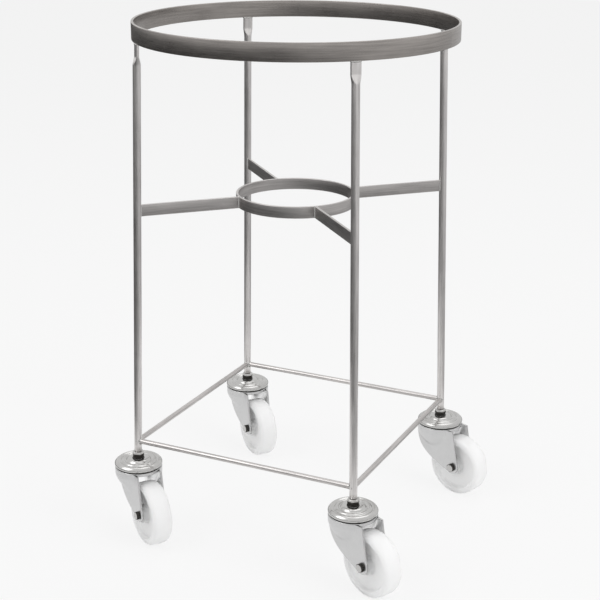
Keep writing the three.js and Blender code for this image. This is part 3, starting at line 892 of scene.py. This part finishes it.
def head_profile():
    """Outline of the pressed head: underside, skirt, rolled rim, two grooves with a ring between, hub."""
    rim = HEAD_RADIUS + RIM_PROUD
    wall = rim - SKIRT_WALL
    skirt = [(wall, HEAD_BASE + SKIRT_DEPTH), (wall, HEAD_BASE), (rim - SKIRT_TUCK, HEAD_BASE),
             (rim, HEAD_BASE + SKIRT_EDGE), (rim, HEAD_TOP - RIM_DROP)]
    return rounded_loop(below_hub(HEAD_UNDERSIDE) + skirt + below_hub(HEAD_UPPER_SIDE))


class STAND_OT_heads(bpy.types.Operator):
    """Build the castor heads, washers and lock nuts: profiles turned about each swivel axis"""

    bl_idname = "stand.heads"
    bl_label = "Castor heads"

    def execute(self, context):
        sizes = context.scene.castor_sizes
        profile = head_profile()
        cap = turned(profile, HEAD_SEGMENTS)
        # The lowest band of the skirt takes the dark finish: painted shadow of the gap between the head and
        # the fork's crown
        gap_shade = (profile[:, 1] < HEAD_BASE + GAP_SHADE_HEIGHT).astype(int)
        nut = hexagon_solid(sizes.nut_hex, NUT_TOP - NUT_BASE, sizes.spigot_hole)
        disc = rounded_bar(sizes.washer - sizes.spigot_hole, WASHER_TOP - WASHER_BASE, WASHER_EDGE)
        disc = disc + np.array([(sizes.washer + sizes.spigot_hole) / 2, (WASHER_BASE + WASHER_TOP) / 2])
        washer = turned(disc, WASHER_SEGMENTS)
        finishes = ["polished_steel", "dark_steel"]
        for corner in CORNERS:
            axis = swivel_axis(corner)
            turn = heading_of(leg_direction(corner))
            skin = Skin(f"castor_head_{corner}_cap").grid(placed(cap, axis), closed_rows=True, paint=gap_shade)
            skin.build(finishes, "stand", "polished_steel", [f"castor_head_{corner}"])
            nut_place = axis + np.array([0, 0, NUT_BASE])
            skin = Skin(f"lock_nut_{corner}_hex")
            skin.grid(placed(nut, nut_place, turn), closed_rows=True, paint=NUT_SHADE_PAINT)
            skin.build(finishes, "stand", "polished_steel", [f"lock_nut_{corner}"])
            skin = Skin(f"washer_{corner}_disc").grid(placed(washer, axis), closed_rows=True)
            skin.build(["dark_steel"], "stand", "dark_steel", [f"washer_{corner}"])
        return {"FINISHED"}


# A cheek's round tip, from and to these angles about the axle, and the points along its swept rear edge
TIP_START = radians(-115)
TIP_END = radians(8)
SWEEP_POINTS = 200

# The shoulder: power of its fall, and how far it ends below the cheek, in blends
SHOULDER_POWER = 1.6
SHOULDER_SINK = 2

# A cheek's grid: rows, their crowding towards the tip, and columns of a face and of an edge
CHEEK_ROWS = 110
CHEEK_CROWDING = 1.2
CHEEK_COLUMNS = 44
EDGE_COLUMNS = 4

# A cheek's ends: how far it starts below the crown in lips, and the gap left at the tip
CHEEK_START = 0.2
CHEEK_END = 0.00002

# A cheek's cut edge: its largest share of the cheek's length, and its two steps outwards and into the sheet
EDGE_SHARE = 0.45
EDGE_OUT = np.array([[0.7, 1.0]])
EDGE_IN = np.array([[0.3, 1.0]])

# Finish of each column of a cheek: the inner face is brighter, as painted light reflected inside the fork
CHEEK_PAINT = np.repeat([0, 1, 0], [CHEEK_COLUMNS + EDGE_COLUMNS, CHEEK_COLUMNS, EDGE_COLUMNS])

# The crown: rounding of its edge, and how far it lies inside the shoulder
CROWN_ROUND = 0.0012
CROWN_INSET = 0.0002


def cheek_edges(level, sizes):
    """Rear and front edge of a cheek at each level: an upright back that sweeps forward behind, a slanted
    line before, both closing on the round tip about the axle."""
    start_x, start_z = TRAIL + sizes.tip * cos(TIP_START), WHEEL_RADIUS + sizes.tip * sin(TIP_START)
    end_x, end_z = TRAIL + sizes.tip * cos(TIP_END), WHEEL_RADIUS + sizes.tip * sin(TIP_END)
    t = np.linspace(0, 1, SWEEP_POINTS)
    share = np.stack([(1 - t) ** 3, 3 * t * (1 - t) ** 2, 3 * t * t * (1 - t), t ** 3], -1)
    sweep_x = share @ np.array([-sizes.cheek_rear, -sizes.cheek_rear, -sizes.sweep_reach, start_x])
    sweep_z = share @ np.array([CROWN_TOP - sizes.back, WHEEL_RADIUS + sizes.back_pull,
                                WHEEL_RADIUS + sizes.sweep_pull, start_z])
    half = np.sqrt(np.clip(sizes.tip ** 2 - (level - WHEEL_RADIUS) ** 2, 0, None))
    rear = np.interp(level, sweep_z[::-1], sweep_x[::-1])
    rear = np.where(level < start_z, TRAIL - half, rear)
    corner = CROWN_TOP - sizes.front_drop
    slant = end_x + (sizes.cheek_front - end_x) * (level - end_z) / (corner - end_z)
    front = np.where(level < end_z, TRAIL + half, slant)
    return rear, front


def cheek_half_width(x, level, depth, sizes):
    """Half width of the fork at a place and level, at a depth into the sheet: the greater of the flat cheek
    and the round shoulder, a barrel that narrows from the crown's radius until the cheek at the knee."""
    shoulder = CROWN_TOP - sizes.shoulder
    knee = WHEEL_RADIUS + sizes.knee
    fall = np.clip((shoulder - level) / (shoulder - knee), 0, 1)
    least = sizes.cheek_half - SHOULDER_SINK * sizes.blend
    radius = sizes.crown - (sizes.crown - least) * fall ** SHOULDER_POWER - depth
    round_half = np.sqrt(np.clip(radius ** 2 - x ** 2, 0, None))
    return soft_greater(sizes.cheek_half - depth, round_half, sizes.blend)


def cheek_sheet(sizes, side):
    """One cheek as a closed sheet: rows go down from the crown to the tip, columns go round the sheet's
    section, along the outer face, over the front edge, back along the inner face and over the rear edge."""
    top = CROWN_TOP - CHEEK_START * sizes.lip
    foot = WHEEL_RADIUS - sizes.tip
    down = np.linspace(0, 1, CHEEK_ROWS)
    level = foot + CHEEK_END + (top - foot) * np.cos(down * pi / 2) ** CHEEK_CROWDING
    rear, front = cheek_edges(level, sizes)
    edge = np.minimum(sizes.sheet_edge, EDGE_SHARE * (front - rear))[:, None]
    share = np.linspace(0, 1, CHEEK_COLUMNS)[None, :]
    flat = (rear[:, None] + edge) + share * (front - rear - 2 * edge[:, 0])[:, None]
    outer = np.zeros_like(flat)
    inner = outer + sizes.sheet
    going_in = edge * EDGE_IN
    coming_out = edge * EDGE_IN[:, ::-1]
    over = np.concatenate([edge * (1 - EDGE_OUT), edge * (1 - EDGE_OUT[:, ::-1])], 1)
    x = np.concatenate([flat, front[:, None] - over, flat[:, ::-1], rear[:, None] + over], 1)
    depth = np.concatenate([outer, going_in, sizes.sheet - coming_out, inner,
                            sizes.sheet - going_in, coming_out], 1)
    level = level[:, None]
    return points_of(x, side * cheek_half_width(x, level, depth, sizes), level)


def crown_profile(sizes):
    """Outline of the fork's crown: a flat disc with a rounded edge and a lip turned down all round."""
    top, low = CROWN_TOP, CROWN_TOP - sizes.lip
    underside = top - sizes.sheet
    radius = sizes.crown - CROWN_INSET
    inner = [(sizes.rivet, underside), (radius - sizes.sheet, underside), (radius - sizes.sheet, low)]
    outer = [(radius, low), (radius, top - 2 * CROWN_ROUND), (radius, top), (radius - 2 * CROWN_ROUND, top),
             (sizes.rivet, top)]
    return rounded_loop(inner + outer)


class STAND_OT_forks(bpy.types.Operator):
    """Build the pressed forks: a round lipped crown whose shoulders run down into two swept cheeks"""

    bl_idname = "stand.forks"
    bl_label = "Forks"

    def execute(self, context):
        sizes = context.scene.castor_sizes
        crown = turned(crown_profile(sizes), HEAD_SEGMENTS)
        cheeks = [cheek_sheet(sizes, side) for side in (-1, 1)]
        for corner in CORNERS:
            axis = swivel_axis(corner)
            heading = castor_heading(corner)
            skin = Skin(f"fork_{corner}_sheet")
            skin.grid(placed(crown, axis, heading), closed_rows=True)
            for cheek in cheeks:
                skin.grid(placed(cheek, axis, heading), paint=CHEEK_PAINT)
            skin.build(["satin_steel", "bare_steel"], f"castor_{corner}", "satin_steel", [f"fork_{corner}"])
        return {"FINISHED"}


# An axle: gaps at the cheek and in the nut, what stands out of the nut, and the taper of its end
CHEEK_CLEARANCE = 0.0003
NUT_CLEARANCE = 0.0002
AXLE_RUNOUT = 0.001
AXLE_TAPER = 0.0006


class STAND_OT_axles(bpy.types.Operator):
    """Build the axle bolts and nuts: chamfered hexagons on the fork's cheeks"""

    bl_idname = "stand.axles"
    bl_label = "Axles"

    def execute(self, context):
        sizes = context.scene.castor_sizes
        seat = sizes.cheek_half + CHEEK_CLEARANCE
        head = along_axle(hexagon_solid(sizes.axle_hex, sizes.axle_head))
        head = head - np.array([0, seat + sizes.axle_head, 0])
        nut = along_axle(hexagon_solid(sizes.axle_hex, sizes.axle_nut, sizes.axle / 2 + NUT_CLEARANCE))
        nut = nut + np.array([0, seat, 0])
        radii = np.full(STUD_STATIONS, sizes.axle / 2)
        radii[-1] -= AXLE_TAPER
        shank = rod((0, -seat, 0), (0, seat + sizes.axle_nut + AXLE_RUNOUT, 0), radii)
        finishes = ["polished_steel", "dark_steel"]
        for corner in CORNERS:
            centre = joint_place(f"roll_{corner}")
            heading = castor_heading(corner)
            body = f"castor_{corner}"
            skin = Skin(f"axle_bolt_{corner}_hex")
            skin.grid(placed(head, centre, heading), closed_rows=True, paint=BOLT_SHADE_PAINT)
            skin.grid(placed(shank, centre, heading))
            skin.build(finishes, body, "polished_steel", [f"axle_bolt_{corner}"])
            skin = Skin(f"axle_nut_{corner}_hex")
            skin.grid(placed(nut, centre, heading), closed_rows=True, paint=BOLT_SHADE_PAINT)
            skin.build(finishes, body, "polished_steel", [f"axle_nut_{corner}"])
        return {"FINISHED"}


# Points of a wheel's side, as steps in radius and half width from a corner of its plain section, in
# millimetres: hub, hub to web, web to rim, rim, and the shoulder of the tread
HUB_STEPS = ((-0.8, 0.0), (0.0, -0.8))
HUB_FILLET = ((0.6, 1.2), (2.2, 0.0))
RIM_FILLET = ((-2.2, 0.0), (-0.5, 1.5))
RIM_STEPS = ((0.0, -1.0), (0.9, 0.0), (3.0, 0.0))
TREAD_STEPS = ((-2.6, -0.9), (-0.7, -3.2), (0.0, -6.5))


def wheel_profile(sizes):
    """Half outline of the wheel, bore to tread, then mirrored: hub boss, dished web, rim, shoulder."""
    half = sizes.wheel_width / 2
    rim = WHEEL_RADIUS - sizes.rim_depth
    corners = (
        (sizes.hub, sizes.hub_half, HUB_STEPS),
        (sizes.hub, sizes.web_half, HUB_FILLET),
        (rim, sizes.web_half, RIM_FILLET),
        (rim, half, RIM_STEPS),
        (WHEEL_RADIUS, half, TREAD_STEPS),
    )
    side = [(sizes.bore, sizes.hub_half)]
    for radius, width, steps in corners:
        side += [(radius + out * MM, width + aside * MM) for out, aside in steps]
    side = np.array(side)
    other = side[::-1] * np.array([1, -1])
    return rounded_loop(np.concatenate([side, other]))


class STAND_OT_wheels(bpy.types.Operator):
    """Build the nylon wheels: one profile turned about each axle"""

    bl_idname = "stand.wheels"
    bl_label = "Wheels"

    def execute(self, context):
        sizes = context.scene.castor_sizes
        wheel = along_axle(turned(wheel_profile(sizes), WHEEL_SEGMENTS))
        for corner in CORNERS:
            points = placed(wheel, joint_place(f"roll_{corner}"), castor_heading(corner))
            skin = Skin(f"wheel_{corner}_tyre").grid(points, closed_rows=True)
            skin.build(["white_nylon"], f"roller_{corner}", "white_nylon", [f"wheel_{corner}"])
        return {"FINISHED"}


class STAND_OT_inner_pieces(bpy.types.Operator):
    """Give the pieces inside the castors their finish"""

    bl_idname = "stand.inner_pieces"
    bl_label = "Inner pieces"

    def execute(self, context):
        for corner in CORNERS:
            for piece in INNER_PIECES:
                node = frame["nodes"][f"{piece}_{corner}"]
                node.data.materials.clear()
                node.data.materials.append(material_of("satin_steel"))
        return {"FINISHED"}


# Stage

WHITE = (1, 1, 1, 1)

# The floor: half its side, its grey under shadows, and the share of its look that no shadow changes
FLOOR_REACH = 6.0
FLOOR_GREY = (0.85, 0.85, 0.85, 1.0)
FLOOR_GLOW = 0.85

# The card that the steel mirrors: its radii, sides and level
CARD_INNER = 0.55
CARD_OUTER = 14.0
CARD_SIDES = 64
CARD_LEVEL = 0.002

# Each lamp's place, side and power, and whether steel mirrors it. All face the same point
LAMP_TARGET = (0, 0, 0.35)
LAMPS = {
    "key": ((-1.6, -1.8, 2.4), 1.8, 22, True),
    "fill": ((2.4, -0.5, 1.5), 1.6, 26, False),
    "top": ((0.2, 0.6, 2.8), 2.2, 16, True),
}
SENSOR_WIDTH = 36.0


def stage_surface(name, points, faces, material):
    """A surface that belongs to the stage and not to the object."""
    mesh = bpy.data.meshes.new(name)
    mesh.from_pydata(points, [], faces)
    mesh.materials.append(material)
    surface = bpy.data.objects.new(name, mesh)
    bpy.context.scene.collection.objects.link(surface)
    return surface


def directly_seen(tree):
    """1 for camera, glossy and transmission rays, and 0 for the rays that light the object."""
    kinds = ("Is Camera Ray", "Is Glossy Ray", "Is Transmission Ray")
    seen, glossy, through = (tree.term("ShaderNodeLightPath", kind) for kind in kinds)
    return (seen + glossy + through).clamp()


def card_surface(look):
    """Grey that rises from the left of the picture to its right."""
    material = bpy.data.materials.new("grey_card")
    tree = Tree(material)
    place = tree.term("ShaderNodeTexCoord", "Object")
    across = cos(look.azimuth) * tree.term("ShaderNodeSeparateXYZ", "X", Vector=place)
    across = across + sin(look.azimuth) * tree.term("ShaderNodeSeparateXYZ", "Y", Vector=place)
    share = (0.5 + across * (0.5 / look.card_span)).clamp()
    tone = look.card + look.card_rise * share ** look.card_bend
    tree.surface(tree.node("ShaderNodeEmission", Color=tone, Strength=1.0))
    return material


class STAND_OT_stage(bpy.types.Operator):
    """Set the pale floor, the grey card, the room light, the lamps and the camera"""

    bl_idname = "stand.stage"
    bl_label = "Stage"

    def execute(self, context):
        look = context.scene.stage_look
        self.room(look)
        self.floor(look)
        self.card(look)
        self.lamps()
        self.camera(look)
        context.scene.view_settings.view_transform = "Standard"
        return {"FINISHED"}

    @staticmethod
    def room(look):
        """One brightness that is seen and another that lights the object."""
        world = bpy.data.worlds.new("room")
        bpy.context.scene.world = world
        tree = Tree(world)
        strength = look.room + directly_seen(tree) * (look.background - look.room)
        glow = tree.node("ShaderNodeBackground", Color=WHITE, Strength=strength)
        tree.surface(glow, "ShaderNodeOutputWorld")

    @staticmethod
    def floor(look):
        """A pale floor that glows where it is seen and takes a faint shadow."""
        material = bpy.data.materials.new("pale_floor")
        tree = Tree(material)
        pale = tree.node("ShaderNodeBsdfDiffuse", Color=FLOOR_GREY)
        white = tree.node("ShaderNodeEmission", Color=WHITE, Strength=look.floor)
        mixed = tree.node("ShaderNodeMixShader", Fac=directly_seen(tree) * FLOOR_GLOW)
        tree.tree.links.new(pale.outputs[0], mixed.inputs[1])
        tree.tree.links.new(white.outputs[0], mixed.inputs[2])
        tree.surface(mixed)
        corners = [(x * FLOOR_REACH, y * FLOOR_REACH, 0) for x, y in ((-1, -1), (1, -1), (1, 1), (-1, 1))]
        stage_surface("floor", corners, [(0, 1, 2, 3)], material)

    @staticmethod
    def card(look):
        """A card that lies round the object, out of the picture, and gives the steel something to mirror."""
        angle = round_angles(CARD_SIDES)
        circle = np.stack([np.cos(angle), np.sin(angle)], -1)
        level = np.full((CARD_SIDES, 1), CARD_LEVEL)
        points = np.concatenate([np.hstack([circle * radius, level]) for radius in (CARD_INNER, CARD_OUTER)])
        first = np.arange(CARD_SIDES)
        after = np.roll(first, -1)
        faces = np.stack([first, first + CARD_SIDES, after + CARD_SIDES, after], -1)
        card = stage_surface("card", points.tolist(), faces.tolist(), card_surface(look))
        card.visible_camera = False
        card.visible_diffuse = False
        card.visible_shadow = False

    @staticmethod
    def lamps():
        """Square lamps that face one point of the stand."""
        for name, (place, side, power, mirrored) in LAMPS.items():
            light = bpy.data.lights.new(name, "AREA")
            light.shape = "SQUARE"
            light.size = side
            light.energy = power
            lamp = bpy.data.objects.new(name, light)
            bpy.context.scene.collection.objects.link(lamp)
            lamp.location = place
            lamp.rotation_euler = (Vector(LAMP_TARGET) - Vector(place)).to_track_quat("-Z", "Y").to_euler()
            lamp.visible_glossy = mirrored

    @staticmethod
    def camera(look):
        """A camera before the stand, turned to the axis and tilted down."""
        data = bpy.data.cameras.new("camera")
        data.lens = look.lens
        data.sensor_width = SENSOR_WIDTH
        camera = bpy.data.objects.new("camera", data)
        bpy.context.scene.collection.objects.link(camera)
        turn = Matrix.Rotation(look.azimuth - look.yaw, 4, "Z")
        tilt = Matrix.Rotation(pi / 2 - look.pitch, 4, "X")
        lean = Matrix.Rotation(look.roll, 4, "Z")
        place = Vector((look.back * sin(look.azimuth), -look.back * cos(look.azimuth), look.height))
        camera.matrix_world = Matrix.Translation(place) @ turn @ tilt @ lean
        bpy.context.scene.camera = camera


# Add-on

STEPS = (STAND_OT_stage, STAND_OT_rings, STAND_OT_legs, STAND_OT_spokes, STAND_OT_rails, STAND_OT_welds,
         STAND_OT_heads, STAND_OT_forks, STAND_OT_axles, STAND_OT_wheels, STAND_OT_inner_pieces)


class STAND_PT_panel(bpy.types.Panel):
    """Lists the steps that build the stand"""

    bl_idname = "STAND_PT_panel"
    bl_label = "Ring stand"
    bl_space_type = "VIEW_3D"
    bl_region_type = "UI"
    bl_category = "Ring stand"

    def draw(self, context):
        for step in STEPS:
            self.layout.operator(step.bl_idname)


GROUPS = {
    "stand_sizes": FrameSizes,
    "castor_sizes": CastorSizes,
    "stand_finishes": Finishes,
    "stage_look": StageLook,
}


def register():
    for group in (*GROUPS.values(), *STEPS, STAND_PT_panel):
        bpy.utils.register_class(group)
    for name, group in GROUPS.items():
        setattr(bpy.types.Scene, name, PointerProperty(type=group))


def unregister():
    for name in GROUPS:
        delattr(bpy.types.Scene, name)
    for group in reversed((*GROUPS.values(), *STEPS, STAND_PT_panel)):
        bpy.utils.unregister_class(group)


def main():
    register()
    for step in STEPS:
        family, name = step.bl_idname.split(".")
        getattr(getattr(bpy.ops, family), name)()


if __name__ == "__main__":
    main()
